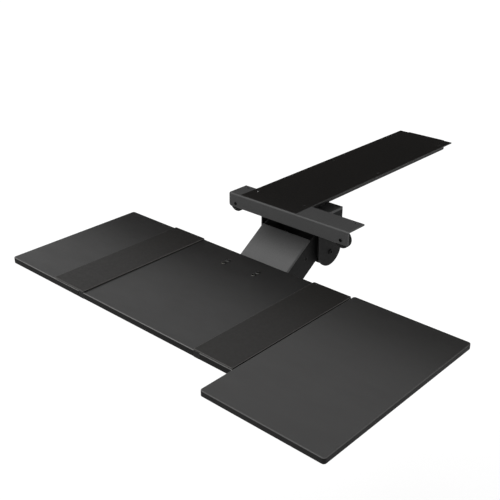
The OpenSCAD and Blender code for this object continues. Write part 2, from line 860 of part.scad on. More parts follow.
// Ear that hangs from the plate to the tilt bolt
module tray_ear(side) {
    rear_top = ear_r + ear_rear;
    color(black) on_side(side) along_x(ear_in, ear_t) translate(tilt_axis) difference() {
        union() {
            circle(ear_r);
            polygon([[-ear_r, 0], [ear_r, 0], [rear_top, ear_drop], [rear_top - ear_top, ear_drop]]);
        }
        circle(tilt_bolt_r + pin_fit);
    }
}

// Middle board, with notches at its corners for the straps' tabs and a relief over the arm
module middle_deck() {
    relief_half = arm_out + relief_side;
    color(black) difference() {
        translate([0, deck_front, deck_low]) along_x(-deck_end, 2 * deck_end)
            round_rect([deck_d, deck_t], edge_r);
        for (side = [-1, 1], y = [deck_front - cut, deck_rear - strap_t]) on_side(side)
            translate([deck_w / 2, y, deck_low - cut])
                cube([strap_lap + cut, strap_t + cut, deck_t + 2 * cut]);
        translate([0, deck_rear, deck_low]) along_x(-relief_half, 2 * relief_half)
            polygon([[-relief_d - cut, -cut], [cut, -cut], [cut, relief_d + cut]]);
        deck_screw_places() drill(deck_low, deck_t, deck_screw_r + pin_fit);
    }
}

// Four screws through the deck into the plate below
module deck_screws() {
    color(steel) deck_screw_places() {
        translate([0, 0, tray_plate_low]) cylinder(h = deck_top - tray_plate_low, r = deck_screw_r);
        translate([0, 0, deck_top]) screw_head(deck_screw_head_r, deck_screw_head_h);
    }
}

// Strap plate over the joint between the middle deck and a wing
module strap(side) {
    color(black) on_side(side) translate([deck_w / 2, deck_front, deck_top]) linear_extrude(strap_t)
        round_rect([strap_w, deck_d], strap_corner_r);
}

// Tabs of both straps, folded down flush into the notches of the middle board
module strap_lips() {
    color(black) for (side = [-1, 1], y = [deck_front, deck_rear - strap_t]) on_side(side)
        translate([deck_w / 2, y, deck_low]) cube([strap_lap, strap_t, deck_t]);
}

// Section of a guide block, as [y, z]: a slot for its runner and a screw foot on each side
module guide_outline() {
    slot_low = runner_low - run_gap;
    difference() {
        union() {
            translate([-guide_block_w / 2, guide_low])
                round_rect([guide_block_w, deck_low - guide_low], guide_round);
            translate([-guide_full_w / 2, deck_low - guide_foot_t]) square([guide_full_w, guide_foot_t]);
        }
        translate([-guide_slot_w / 2, slot_low]) square([guide_slot_w, deck_low - slot_low + cut]);
    }
}

// Guide blocks under the middle deck, the front ones with a hole for the lock screw
module runner_guides() {
    foot_y = (guide_block_w + guide_foot_w) / 2;
    color(nylon) for (side = [-1, 1], i = [0, 1]) on_side(side) translate([0, runner_ys[i], 0]) difference() {
        along_x(guide_start, guide_len) guide_outline();
        for (x = guide_screw_xs, y = [-foot_y, foot_y])
            translate([x, y, 0]) drill(deck_low - guide_foot_t, guide_foot_t, guide_screw_r);
        if (i == 0) translate([lock_x, 0, 0])
            drill(guide_low, guide_wall, lock_screw_r + pin_fit);
    }
}

// Bolt through ears, head plates and tube, with a hexagon head on the left
module tilt_bolt() {
    start = -ear_out - run_gap;
    color(steel) translate([start, tilt_axis[0], tilt_axis[1]]) rotate([0, 90, 0]) {
        cylinder(h = cheek_out - start, r = tilt_bolt_r);
        translate([0, 0, -tilt_head_h]) hexagon(tilt_head_r, tilt_head_h);
    }
}

module tilt_knob() {
    color(black) translate([cheek_out, tilt_axis[0], tilt_axis[1]]) rotate([0, 90, 0])
        knob_body(tilt_knob_r, tilt_knob_h);
}

// Wing board with a square inner end, drawn for the right side
module wing_board() {
    translate([wing_in, deck_front, wing_low]) {
        board([wing_end - wing_in, deck_d, deck_t], wing_corner_r);
        along_x(0, 2 * wing_corner_r) round_rect([deck_d, deck_t], edge_r);
    }
}

module wing_left_panel() {
    color(black) on_side(-1) wing_board();
}

module wing_right_panel() {
    color(black) difference() {
        wing_board();
        translate([mouse_pivot[0], mouse_pivot[1], 0]) drill(wing_low, deck_t, mouse_stud_r + pin_fit);
        stop_screw_place() drill(wing_low, deck_t, stop_screw_r + pin_fit);
    }
}

module runners(side) {
    color(steel) on_side(side) for (y = runner_ys)
        translate([runner_start, y - runner_w / 2, runner_low]) linear_extrude(runner_t)
            round_rect([runner_end - runner_start, runner_w], runner_corner_r);
}

module stop_screw_place() {
    translate([strap_out + stop_gap + stop_head_r, deck_mid + stop_behind, 0]) children();
}

// Screw beside the strap, over the right wing's rear runner
module wing_stop_screw() {
    color(steel) stop_screw_place() {
        translate([0, 0, wing_low]) cylinder(h = deck_t, r = stop_screw_r);
        translate([0, 0, wing_top]) screw_head(stop_head_r, stop_head_h);
    }
}

module mouse_board() {
    color(black) translate([mouse_left, mouse_front, mouse_low])
        board([mouse_w, mouse_d, mouse_t], mouse_corner_r);
}

// Pivot of the platform: a disc under it, and a stud down through the wing
module mouse_hub() {
    stud_end = mouse_knob_top - mouse_stud_in;
    color(steel) translate([mouse_pivot[0], mouse_pivot[1], 0]) {
        translate([0, 0, wing_top + run_gap]) cylinder(h = mouse_lift - run_gap, r = mouse_hub_r);
        translate([0, 0, stud_end]) cylinder(h = wing_top + run_gap - stud_end, r = mouse_stud_r);
    }
}

module mouse_washer() {
    color(nylon) translate([mouse_pivot[0], mouse_pivot[1], mouse_washer_top - mouse_washer_t]) difference() {
        cylinder(h = mouse_washer_t, r = mouse_washer_r);
        drill(0, mouse_washer_t, mouse_stud_r + pin_fit);
    }
}

module mouse_knob() {
    color(black) translate([mouse_pivot[0], mouse_pivot[1], mouse_knob_top]) mirror([0, 0, 1]) difference() {
        knob_body(mouse_knob_r, mouse_knob_h);
        translate([0, 0, -cut]) cylinder(h = cut + mouse_stud_in + run_gap, r = mouse_stud_r + pin_fit);
    }
}

// Lock knob whose screw reaches up to a runner
module wing_lock(side) {
    color(black) on_side(side) translate([lock_x, runner_ys[0], guide_low - run_gap]) {
        mirror([0, 0, 1]) knob_body(lock_knob_r, lock_knob_h);
        cylinder(h = runner_low - guide_low, r = lock_screw_r);
    }
}

track_rail();
front_bar();
bar_bumpers();
bumper_screws();
track_end_cap();
track_stops();
carriage_plate();
glide_shoes();
swivel_bearing();
swivel_stud();
stud_washer();
stud_nut();
swivel_plate();
cheek(-1);  // cheek_left
cheek(1);  // cheek_right
bracket_web();
arm_pivot_pin();
link_pivot_pin();
link_spacers();
arm_side(-1);  // arm_side_left
arm_side(1);  // arm_side_right
arm_cover();
arm_tie_rod();
arm_washers();
link(-1);  // link_left
link(1);  // link_right
head_plate(-1);  // head_plate_left
head_plate(1);  // head_plate_right
head_arm_pin();
head_link_pin();
tilt_tube();
tray_plate();
tray_ear(-1);  // tray_ear_left
tray_ear(1);  // tray_ear_right
middle_deck();
deck_screws();
strap(-1);  // strap_left
strap(1);  // strap_right
strap_lips();
runner_guides();
tilt_bolt();
tilt_knob();
wing_left_panel();
runners(-1);  // wing_left_runners
wing_right_panel();
runners(1);  // wing_right_runners
wing_stop_screw();
mouse_board();
mouse_hub();
mouse_washer();
mouse_knob();
wing_lock(-1);  // wing_left_lock
wing_lock(1);  // wing_right_lock
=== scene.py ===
"""Looks of an under-desk keyboard tray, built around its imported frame. Lengths are metres."""
import json
import math

import bmesh
import bpy
from mathutils import Matrix, Vector

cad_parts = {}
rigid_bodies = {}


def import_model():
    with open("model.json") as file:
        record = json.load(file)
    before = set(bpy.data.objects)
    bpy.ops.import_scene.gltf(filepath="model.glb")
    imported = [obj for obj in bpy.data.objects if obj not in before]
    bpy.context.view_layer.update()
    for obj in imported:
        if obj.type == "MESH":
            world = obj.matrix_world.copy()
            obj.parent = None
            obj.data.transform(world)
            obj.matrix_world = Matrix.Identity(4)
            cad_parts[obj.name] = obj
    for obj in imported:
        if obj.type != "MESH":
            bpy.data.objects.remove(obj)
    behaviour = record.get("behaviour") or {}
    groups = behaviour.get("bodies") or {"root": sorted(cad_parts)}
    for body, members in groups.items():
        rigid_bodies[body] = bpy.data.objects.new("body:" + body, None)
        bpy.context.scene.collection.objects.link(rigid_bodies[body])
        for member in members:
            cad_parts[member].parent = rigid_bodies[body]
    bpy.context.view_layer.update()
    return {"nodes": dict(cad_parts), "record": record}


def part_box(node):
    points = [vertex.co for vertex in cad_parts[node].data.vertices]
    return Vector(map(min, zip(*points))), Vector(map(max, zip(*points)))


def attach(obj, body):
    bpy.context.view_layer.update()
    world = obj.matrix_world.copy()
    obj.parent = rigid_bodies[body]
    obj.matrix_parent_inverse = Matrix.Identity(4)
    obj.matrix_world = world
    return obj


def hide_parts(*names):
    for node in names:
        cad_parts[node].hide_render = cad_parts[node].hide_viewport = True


MM = 0.001
RIGHT = (1, 0, 0)
FRONT = (0, -1, 0)
UP = (0, 0, 1)
DOWN = (0, 0, -1)

# Camera as fitted to the photograph: place in metres, angles in degrees, lens in millimetres
CAMERA_AT = (0.75741, -1.09063, 0.47469)
CAMERA_YAW = 42.313
CAMERA_PITCH = 25.5
CAMERA_ROLL = -0.038
CAMERA_LENS = 60.44
CAMERA_SENSOR = 36.0

# Stage: the floor's height, half size and tones, the even light, and the key light, with its spread in
# degrees
FLOOR_Z = -0.72
FLOOR_HALF = 40.0
FLOOR_COLOUR = 0.5
FLOOR_GLOW = 0.62
STAGE_ROUGH = 0.9
WORLD_LIGHT = 0.5
KEY_STRENGTH = 1.6
KEY_SOFTNESS = 50.0
KEY_FROM = (-0.45, -0.75, 1.1)
# Dark flag behind the tray and over the rail, which only reflections see
FLAG_SIDE = 0.9
FLAG_FRONT = -0.225
FLAG_REAR = 0.7
FLAG_Z = 0.02
FLAG_COLOUR = (0.05, 0.042, 0.036, 1.0)

# Width of the rounded edges by material slot, and the steps of their curve
EDGE_ROUND = {
    "black_steel": (0.4 * MM, 3),
    "grey_steel": (0.5 * MM, 3),
    "plated_steel": (0.4 * MM, 2),
    "nylon": (0.5 * MM, 2),
    "rubber": (0.6 * MM, 2),
    "knob_plastic": (1.2 * MM, 4),
    "black_screw": (0.25 * MM, 2),
}
# The same for nodes that differ from their slot: the straps are softer, and the others have short edges
OWN_ROUND = {
    "strap_left": (0.7 * MM, 3),
    "strap_right": (0.7 * MM, 3),
    "stud_nut": (0.05 * MM, 2),
    "tilt_bolt": (0.06 * MM, 2),
    "tilt_knob": (0.5 * MM, 3),
    "mouse_knob": (0.3 * MM, 3),
    "bracket_web": (0.2 * MM, 2),
}
# Angle over which an edge is sharp, angle within which faces are one flat face, and distance within which
# points are one point
EDGE_ANGLE = math.radians(32)
FLAT_ANGLE = math.radians(0.3)
WELD_DISTANCE = 0.01 * MM
# Faces at an edge of a closed surface, and the weight of large faces in the shading, in percent
FACES_PER_EDGE = 2
FACE_WEIGHT = 100
# Where the finishes of the rounded edges and of a board's upright side faces stand in a node's list; the
# first paints a highlight, the second paints shade
EDGE_FINISH = 1
SIDE_SHADE_FINISH = 2
# Upward share of a board face's normal, below which the face is part of a rounded edge or of the upright
# side faces, whose darker finish is painted shade
ROUND_TILT = 0.97
SIDE_SHADE_TILT = 0.12

# Button heads: sides of a turned form, and the outline in shares of a head's radius and height
TURNED_SIDES = 48
HEAD_OUTLINE = [(1.0, 0.0), (1.0, 0.25), (0.97, 0.45), (0.9, 0.68), (0.78, 0.88), (0.64, 1.0)]
# Hexagon sockets: radius in shares of a head's, mouth in shares of the socket's radius and of the head's
# height, and depth in shares of the head's height
SOCKET_SHARE = 0.5
SOCKET_MOUTH = (1.06, 0.92)
SOCKET_DEPTH = 1.3
# Shanks: radius in shares of a head's, and chamfer in shares of the shank's radius
SHANK_SHARE = 0.6
SHANK_CHAMFER = 0.2
# Radius of the deck screws' heads
DECK_HEAD_R = 4 * MM

# Pivot bolts: shank radius by the pin that a bolt stands for, and height of a head
PIVOT_SHANKS = {
    "arm_pivot_pin": 5 * MM,
    "link_pivot_pin": 3 * MM,
    "head_arm_pin": 5 * MM,
    "head_link_pin": 3 * MM,
}
PIVOT_HEAD_H = 2.5 * MM

# Guide blocks under the deck: length, foot width, full width and foot thickness, and their screws' distance
# from a block's ends, head radius and head height
GUIDE_LEN = 58 * MM
GUIDE_FOOT_W = 10 * MM
GUIDE_FULL_W = 47.6 * MM
GUIDE_FOOT_T = 3 * MM
GUIDE_SCREW_INSET = 10 * MM
GUIDE_HEAD_R = 3.4 * MM
GUIDE_HEAD_H = 1.8 * MM

# Weld beads: leg, ripple spacing, ripple share, sections per ripple, points per section, and distance from
# the ends of a corner
BEAD_LEG = 2.4 * MM
BEAD_PITCH = 2.2 * MM
BEAD_RIPPLE = 0.16
BEAD_STEPS = 6
BEAD_POINTS = 6
BEAD_MARGIN = 5 * MM

for old in list(bpy.data.objects):
    bpy.data.objects.remove(old)
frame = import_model()
NODES = frame["nodes"]
SLOT_OF = {part["node"]: part["material_slot"] for part in frame["record"]["subparts"]}
BODY_OF = {node: body for body, nodes in frame["record"]["behaviour"]["bodies"].items() for node in nodes}


class Finish:
    """A Principled material, with short names for the nodes that its finish is made of."""

    def __init__(self, name, **constants):
        self.material = bpy.data.materials.new(name)
        self.material.use_nodes = True
        self.tree = self.material.node_tree
        self.bsdf = self.tree.nodes["Principled BSDF"]
        for socket, value in constants.items():
            self.bsdf.inputs[socket.replace("_", " ")].default_value = value
        self.place = self.tree.nodes.new("ShaderNodeTexCoord").outputs["Object"]

    def node(self, kind, links, **settings):
        """A node with its settings and its inputs, each a socket or a plain value."""
        made = self.tree.nodes.new(kind)
        for key, value in settings.items():
            setattr(made, key, value)
        for key, value in links.items():
            if isinstance(value, bpy.types.NodeSocket):
                self.tree.links.new(value, made.inputs[key])
            else:
                made.inputs[key].default_value = value
        return made

    def noise(self, size, detail=3.0, rough=0.5, stretch=(1, 1, 1)):
        """Noise whose features are about size metres wide, drawn out along an axis by stretch."""
        spot = self.node("ShaderNodeMapping", {"Vector": self.place, "Scale": [1 / s for s in stretch]})
        made = self.node("ShaderNodeTexNoise", {
            "Vector": spot.outputs[0], "Scale": 1 / size, "Detail": detail, "Roughness": rough})
        return made.outputs["Fac"]

    def cells(self, size):
        """Distance to the middle of cells about size metres wide."""
        made = self.node("ShaderNodeTexVoronoi", {"Vector": self.place, "Scale": 1 / size})
        return made.outputs["Distance"]

    def span(self, value, low, high, to_low, to_high):
        """Maps low to high on to_low to to_high, clamped."""
        made = self.node("ShaderNodeMapRange", {
            "Value": value, "From Min": low, "From Max": high, "To Min": to_low, "To Max": to_high})
        return made.outputs[0]

    def mix(self, share, first, second):
        """Colour between two by a share. The mix node's colours are its inputs 6 and 7 and its output 2."""
        made = self.node("ShaderNodeMix", {0: share, 6: first, 7: second}, data_type="RGBA")
        return made.outputs[2]

    def bump(self, height, depth, strength, under=None):
        """Bump of a height whose full range is depth metres, over another bump."""
        links = {"Height": height, "Distance": depth, "Strength": strength}
        if under is not None:
            links["Normal"] = under
        return self.node("ShaderNodeBump", links).outputs[0]

    def set(self, socket, value):
        """Links a value to one of the shader's sockets."""
        self.tree.links.new(value, self.bsdf.inputs[socket])


def grey(level, warmth=0.0):
    """Opaque grey, a little red over blue where warmth is above 0."""
    return (level * (1 + warmth), level, level * (1 - warmth), 1.0)


def laminate(name, level, specular, rough):
    """Fine pebbled laminate: a black with a warm tint that is a painted reflection, faint clouds, a tight
    grain and hand marks in its gloss.
    """
    look = Finish(name, Specular_IOR_Level=specular)
    clouds = look.noise(60 * MM, detail=4)
    grain = look.noise(0.5 * MM, detail=2)
    # The warm tints are a painted warm reflection.
    base = look.mix(clouds, grey(0.82 * level, 0.03), grey(level, 0.015))
    look.set("Base Color", look.mix(look.span(grain, 0.3, 0.7, 0, 1), base, grey(1.25 * level, 0.02)))
    marks = look.noise(25 * MM, detail=5, rough=0.6, stretch=(2.5, 1, 1))
    look.set("Roughness", look.span(marks, 0.25, 0.75, rough - 0.035, rough + 0.045))
    pebble = look.bump(look.cells(0.9 * MM), depth=0.05 * MM, strength=0.35)
    look.set("Normal", look.bump(grain, depth=0.03 * MM, strength=0.35, under=pebble))
    return look.material


def powder_coat(name, level, specular, rough, warmth=0.0):
    """Powder coat: sand-fine bumps over a slow orange peel, with a little colour in the grains."""
    look = Finish(name, Specular_IOR_Level=specular)
    grain = look.noise(0.7 * MM)
    clouds = look.noise(35 * MM)
    base = look.mix(clouds, grey(0.86 * level, warmth), grey(level, warmth))
    look.set("Base Color", look.mix(look.span(grain, 0.35, 0.7, 0, 1), base, grey(1.35 * level, warmth)))
    look.set("Roughness", look.span(look.noise(4 * MM), 0.3, 0.7, rough - 0.04, rough + 0.05))
    peel = look.bump(look.noise(2.6 * MM, detail=1), depth=0.06 * MM, strength=0.25)
    look.set("Normal", look.bump(grain, depth=0.05 * MM, strength=0.4, under=peel))
    return look.material


def plated(name, level, rough):
    """Plated or blackened steel: grey metal with a fine grain and a faint tint."""
    look = Finish(name, Metallic=1.0)
    tint = look.span(look.noise(14 * MM), 0.3, 0.7, 0, 1)
    cool = (0.92 * level, 0.96 * level, 1.02 * level, 1)
    warm = (1.06 * level, 1.02 * level, 0.9 * level, 1)
    look.set("Base Color", look.mix(tint, cool, warm))
    grain = look.noise(0.35 * MM, rough=0.6)
    look.set("Roughness", look.span(grain, 0.25, 0.75, rough - 0.07, rough + 0.1))
    look.set("Normal", look.bump(grain, depth=0.02 * MM, strength=0.3))
    return look.material


def moulding(name, level, specular, rough, grain_size, depth):
    """Moulded plastic or rubber with a spark-eroded grain."""
    look = Finish(name, Specular_IOR_Level=specular)
    grain = look.noise(grain_size, detail=4, rough=0.6)
    clouds = look.span(look.noise(9 * MM), 0.3, 0.7, 0, 1)
    look.set("Base Color", look.mix(clouds, grey(0.85 * level), grey(1.15 * level)))
    look.set("Roughness", look.span(grain, 0.3, 0.7, rough - 0.06, rough + 0.06))
    look.set("Normal", look.bump(grain, depth=depth, strength=0.5))
    return look.material


def natural_nylon(name):
    """Natural nylon: milky, a little translucent, with slow flow marks."""
    look = Finish(name, Subsurface_Weight=0.12, Subsurface_Scale=1.5 * MM, Specular_IOR_Level=0.45)
    flow = look.span(look.noise(8 * MM, detail=4, stretch=(3, 1, 1)), 0.3, 0.7, 0, 1)
    look.set("Base Color", look.mix(flow, (0.52, 0.5, 0.44, 1), (0.6, 0.58, 0.52, 1)))
    look.set("Roughness", look.span(look.noise(2 * MM), 0.3, 0.7, 0.4, 0.52))
    look.set("Normal", look.bump(look.noise(0.6 * MM, detail=2), depth=0.02 * MM, strength=0.3))
    return look.material


# Every slot's finish, and the finish of its rounded edges, which is lighter: a painted highlight along them,
# and in part a thinner, rubbed coat. A board also has a darker finish on its upright side faces, which is
# painted shade.
FINISHES = {
    "board": (laminate("board_black", level=0.012, specular=0.36, rough=0.45),
              # The board's rounded edges are far lighter than its face: painted highlight.
              laminate("board_edge_highlight", level=0.1, specular=0.5, rough=0.4),
              # Darker upright side faces of the board: painted shade.
              laminate("board_side_shade", level=0.006, specular=0.08, rough=0.55)),
    # The black coat's warm tint is a painted warm reflection.
    "black_steel": (powder_coat("coat_black", level=0.012, specular=0.18, rough=0.5, warmth=0.06),
                    powder_coat("coat_black_edge", level=0.026, specular=0.4, rough=0.42)),
    "grey_steel": (powder_coat("coat_graphite", level=0.055, specular=0.35, rough=0.5),
                   powder_coat("coat_graphite_edge", level=0.08, specular=0.45, rough=0.44)),
    "plated_steel": (plated("zinc_plate", level=0.56, rough=0.32),
                     plated("zinc_edge", level=0.68, rough=0.24)),
    "black_screw": (plated("black_oxide", level=0.055, rough=0.36),
                    plated("black_oxide_edge", level=0.1, rough=0.3)),
    "nylon": (natural_nylon("nylon_natural"),) * 2,
    "rubber": (moulding("rubber_black", level=0.012, specular=0.25, rough=0.78,
                        grain_size=0.5 * MM, depth=0.06 * MM),) * 2,
    "knob_plastic": (moulding("knob_grain", level=0.015, specular=0.4, rough=0.5,
                              grain_size=0.4 * MM, depth=0.05 * MM),
                     moulding("knob_edge", level=0.022, specular=0.45, rough=0.4,
                              grain_size=0.4 * MM, depth=0.02 * MM)),
}

# Finishes of the nodes that differ from the rest of their slot
# The mouse board is the deck's laminate made lighter: painted light, for the stronger light that falls on it
# in front of the tray.
LIT_PLATFORM = (laminate("platform_black_lit", level=0.018, specular=0.37, rough=0.46),
            laminate("platform_edge_highlight", level=0.05, specular=0.4, rough=0.42),
            # Darker upright side faces of the mouse board: painted shade.
            laminate("platform_side_shade", level=0.008, specular=0.1, rough=0.55))
# The arm's cover is the graphite coat made lighter: painted light on its top, which faces the key.
LIT_COVER_COAT = (powder_coat("graphite_lit_cover", level=0.078, specular=0.35, rough=0.5),
              powder_coat("graphite_lit_cover_edge", level=0.09, specular=0.45, rough=0.44))
# Painted shade: a darker, duller copy of the coats for the faces turned away from the key.
SHADE_PAINTED_COAT = (powder_coat("shade_painted_coat", level=0.014, specular=0.09, rough=0.62),
             powder_coat("shade_painted_coat_edge", level=0.024, specular=0.3, rough=0.5))
# Painted shade: near-black, darker than any coat, so these heads stand in for the dark shaded dots where
# they sit.
SHADE_DOT_COAT = (powder_coat("shade_dot_coat", level=0.004, specular=0.05, rough=0.55),
             powder_coat("shade_dot_coat_edge", level=0.012, specular=0.25, rough=0.45))
# The straps' edge finish is light and almost without gloss, so the key lights it into a painted highlight on
# the edges that face it.
STRAP_COAT = (FINISHES["black_steel"][0],
              powder_coat("coat_strap_edge_highlight", level=0.09, specular=0.03, rough=0.6, warmth=0.03))
# Nodes whose faces turn from the key and take the painted-shade coat
SHADE_PAINTED_NODES = ["arm_side_left", "arm_side_right", "cheek_left", "cheek_right", "bracket_web",
              "head_plate_left", "head_plate_right", "strap_lips", *PIVOT_SHANKS]
OWN_FINISHES = {
    "mouse_board": LIT_PLATFORM,
    "arm_cover": LIT_COVER_COAT,
    "bumper_screws": SHADE_DOT_COAT,
    "arm_tie_rod": SHADE_DOT_COAT,
    "strap_left": STRAP_COAT,
    "strap_right": STRAP_COAT,
    **dict.fromkeys(SHADE_PAINTED_NODES, SHADE_PAINTED_COAT),
}


def new_group(name):
    """A modifier group with one geometry in and one out."""
    group = bpy.data.node_groups.new(name, "GeometryNodeTree")
    for way in ("INPUT", "OUTPUT"):
        group.interface.new_socket("Geometry", in_out=way, socket_type="NodeSocketGeometry")
    return group


def joined_faces():
    """Modifier group that joins a node's split faces and shades them smooth."""
    group = new_group("joined_faces")
    start = group.nodes.new("NodeGroupInput")
    plain = group.nodes.new("GeometryNodeRemoveAttribute")
    plain.inputs["Name"].default_value = "custom_normal"
    weld = group.nodes.new("GeometryNodeMergeByDistance")
    weld.inputs["Distance"].default_value = WELD_DISTANCE
    smooth = group.nodes.new("GeometryNodeSetShadeSmooth")
    end = group.nodes.new("NodeGroupOutput")
    for source, target in ((start, plain), (plain, weld), (weld, smooth), (smooth, end)):
        group.links.new(source.outputs[0], target.inputs[0])
    return group


def calculated(group, operation, value, limit=0.0):
    """Socket with the result of a math operation on a value and a limit."""
    made = group.nodes.new("ShaderNodeMath")
    made.operation = operation
    made.inputs[1].default_value = limit
    group.links.new(value, made.inputs[0])
    return made.outputs[0]


def outer_faces():
    """Modifier group that clears the faces inside a node, where two solids of it meet."""
    group = new_group("outer_faces")
    faces = group.nodes.new("GeometryNodeInputMeshEdgeNeighbors").outputs["Face Count"]
    on_edge = group.nodes.new("GeometryNodeFieldOnDomain")
    on_edge.data_type = "BOOLEAN"
    on_edge.domain = "EDGE"
    group.links.new(calculated(group, "GREATER_THAN", faces, FACES_PER_EDGE), on_edge.inputs[0])
    cut = group.nodes.new("GeometryNodeDeleteGeometry")
    cut.domain = "FACE"
    cut.mode = "ONLY_FACE"
    group.links.new(group.nodes.new("NodeGroupInput").outputs[0], cut.inputs["Geometry"])
    group.links.new(on_edge.outputs[0], cut.inputs["Selection"])
    group.links.new(cut.outputs[0], group.nodes.new("NodeGroupOutput").inputs[0])
    return group


def marked_edges():
    """Modifier group that keeps a board's square edges sharp and marks its rounded edges, for a painted
    highlight, and its upright side faces, for painted shade.
    """
    group = new_group("marked_edges")
    angle = group.nodes.new("GeometryNodeInputMeshEdgeAngle").outputs["Unsigned Angle"]
    sharp = group.nodes.new("GeometryNodeSetShadeSmooth")
    sharp.domain = "EDGE"
    sharp.inputs["Shade Smooth"].default_value = False
    group.links.new(calculated(group, "GREATER_THAN", angle, EDGE_ANGLE), sharp.inputs["Selection"])
    group.links.new(group.nodes.new("NodeGroupInput").outputs[0], sharp.inputs["Geometry"])
    geometry = sharp.outputs[0]
    normal = group.nodes.new("ShaderNodeSeparateXYZ")
    group.links.new(group.nodes.new("GeometryNodeInputNormal").outputs[0], normal.inputs[0])
    upward = calculated(group, "ABSOLUTE", normal.outputs["Z"])
    for finish, limit in ((EDGE_FINISH, ROUND_TILT), (SIDE_SHADE_FINISH, SIDE_SHADE_TILT)):
        mark = group.nodes.new("GeometryNodeSetMaterialIndex")
        mark.inputs["Material Index"].default_value = finish
        group.links.new(calculated(group, "LESS_THAN", upward, limit), mark.inputs["Selection"])
        group.links.new(geometry, mark.inputs["Geometry"])
        geometry = mark.outputs[0]
    group.links.new(geometry, group.nodes.new("NodeGroupOutput").inputs[0])
    return group


def shade_flat_faces(piece):
    """Shades the large faces flat and leaves the turn of the light to the narrow ones between them."""
    normals = piece.modifiers.new("normals", "WEIGHTED_NORMAL")
    normals.weight = FACE_WEIGHT
    normals.keep_sharp = True


def join_and_flatten(piece, joined, outer):
    """Joins a node's faces, and clears the triangles of its flat ones and the faces inside."""
    piece.modifiers.new("joined", "NODES").node_group = joined
    flat = piece.modifiers.new("flat", "DECIMATE")
    flat.decimate_type = "DISSOLVE"
    flat.angle_limit = FLAT_ANGLE
    piece.modifiers.new("outer", "NODES").node_group = outer


def round_edges(piece, width, segments):
    """Rounds every sharp edge of a piece."""
    bevel = piece.modifiers.new("edges", "BEVEL")
    bevel.width = width
    bevel.segments = segments
    bevel.limit_method = "ANGLE"
    bevel.angle_limit = EDGE_ANGLE
    bevel.use_clamp_overlap = False
    # The rounds take the lighter edge finish, which paints a highlight along them.
    bevel.material = EDGE_FINISH


def finish_nodes():
    """Gives every node its finish and rounded edges."""
    joined, outer, marked = joined_faces(), outer_faces(), marked_edges()
    for name, piece in NODES.items():
        slot = SLOT_OF[name]
        piece.data.materials.clear()
        for material in OWN_FINISHES.get(name, FINISHES[slot]):
            piece.data.materials.append(material)
        join_and_flatten(piece, joined, outer)
        if slot == "board":
            piece.modifiers.new("marked", "NODES").node_group = marked
        else:
            round_edges(piece, *OWN_ROUND.get(name, EDGE_ROUND[slot]))
        shade_flat_faces(piece)


def add_piece(name, mesh_maker, body, slot, node=None):
    """A new piece that rides on a body, with its slot's finish or that of the node that it replaces."""
    mesh = bpy.data.meshes.new(name)
    mesh_maker.to_mesh(mesh)
    mesh_maker.free()
    for material in OWN_FINISHES.get(node, FINISHES[slot]):
        mesh.materials.append(material)
    piece = bpy.data.objects.new(name, mesh)
    bpy.context.scene.collection.objects.link(piece)
    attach(piece, body)
    if node:
        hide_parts(node)
    return piece


def ring(made, place, radius, height, hexagon):
    """Vertices round the Z axis of a place: a circle, or a hexagon by its corners."""
    side = math.pi / 3
    verts = []
    for i in range(TURNED_SIDES):
        turn = 2 * math.pi * i / TURNED_SIDES
        reach = radius
        if hexagon:
            reach *= math.cos(side / 2) / math.cos(turn % side - side / 2)
        point = Vector((reach * math.cos(turn), reach * math.sin(turn), height))
        verts.append(made.verts.new(place @ point))
    return verts


def turned(made, place, rings):
    """Closed turned form through rings of (radius, height, hexagon), from its first end to its last."""
    loops = [ring(made, place, *step) for step in rings]
    for low, high in zip(loops, loops[1:]):
        for i in range(TURNED_SIDES):
            j = (i + 1) % TURNED_SIDES
            made.faces.new((low[i], low[j], high[j], high[i])).smooth = True
    made.faces.new(list(reversed(loops[0])))
    made.faces.new(loops[-1])


def button_head(head_r, head_h):
    """Rings of a button head that stands on height 0, down to the floor of its hexagon socket."""
    socket_r = SOCKET_SHARE * head_r
    crown = [(r * head_r, h * head_h, False) for r, h in HEAD_OUTLINE]
    socket = [(SOCKET_MOUTH[0] * socket_r, head_h, True),
              (socket_r, SOCKET_MOUTH[1] * head_h, True),
              (socket_r, (1 - SOCKET_DEPTH) * head_h, True)]
    return crown + socket


def socket_screw(made, place, head_r, head_h, shank_len):
    """Button-head screw with a hexagon socket; its head stands on the place's XY plane."""
    shank_r = SHANK_SHARE * head_r
    chamfer = SHANK_CHAMFER * shank_r
    shank = [(shank_r - chamfer, -shank_len, False),
             (shank_r, chamfer - shank_len, False),
             (shank_r, 0.0, False)]
    turned(made, place, shank + button_head(head_r, head_h))


def pivot_bolt(made, place, shank_r, half, head_r, head_h):
    """Bolt along the place's Z axis with a button head on each end of its shank."""
    head = [(r, half + h, hexagon) for r, h, hexagon in button_head(head_r, head_h)]
    end = [(shank_r, half, False)] + head
    turned(made, place, [(r, -h, hexagon) for r, h, hexagon in reversed(end)] + end)


def facing(direction, at):
    """Place whose Z axis points along a direction."""
    return Matrix.Translation(at) @ Vector(direction).to_track_quat("Z", "Y").to_matrix().to_4x4()


def screws(name, body, places, head_r, head_h, shank_len, node=None):
    """A group of like screws, in place of a node where one is named."""
    made = bmesh.new()
    for place in places:
        socket_screw(made, place, head_r, head_h, shank_len)
    shade_flat_faces(add_piece(name, made, body, "black_screw", node))


def make_deck_screws():
    """Screws through the deck, in place of their plain node."""
    low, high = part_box("deck_screws")
    deck_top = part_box("middle_deck")[1].z
    xs = low.x + DECK_HEAD_R, high.x - DECK_HEAD_R
    ys = low.y + DECK_HEAD_R, high.y - DECK_HEAD_R
    places = [facing(UP, (x, y, deck_top)) for x in xs for y in ys]
    screws("deck_screw_set", "tray", places, DECK_HEAD_R, high.z - deck_top, deck_top - low.z, "deck_screws")


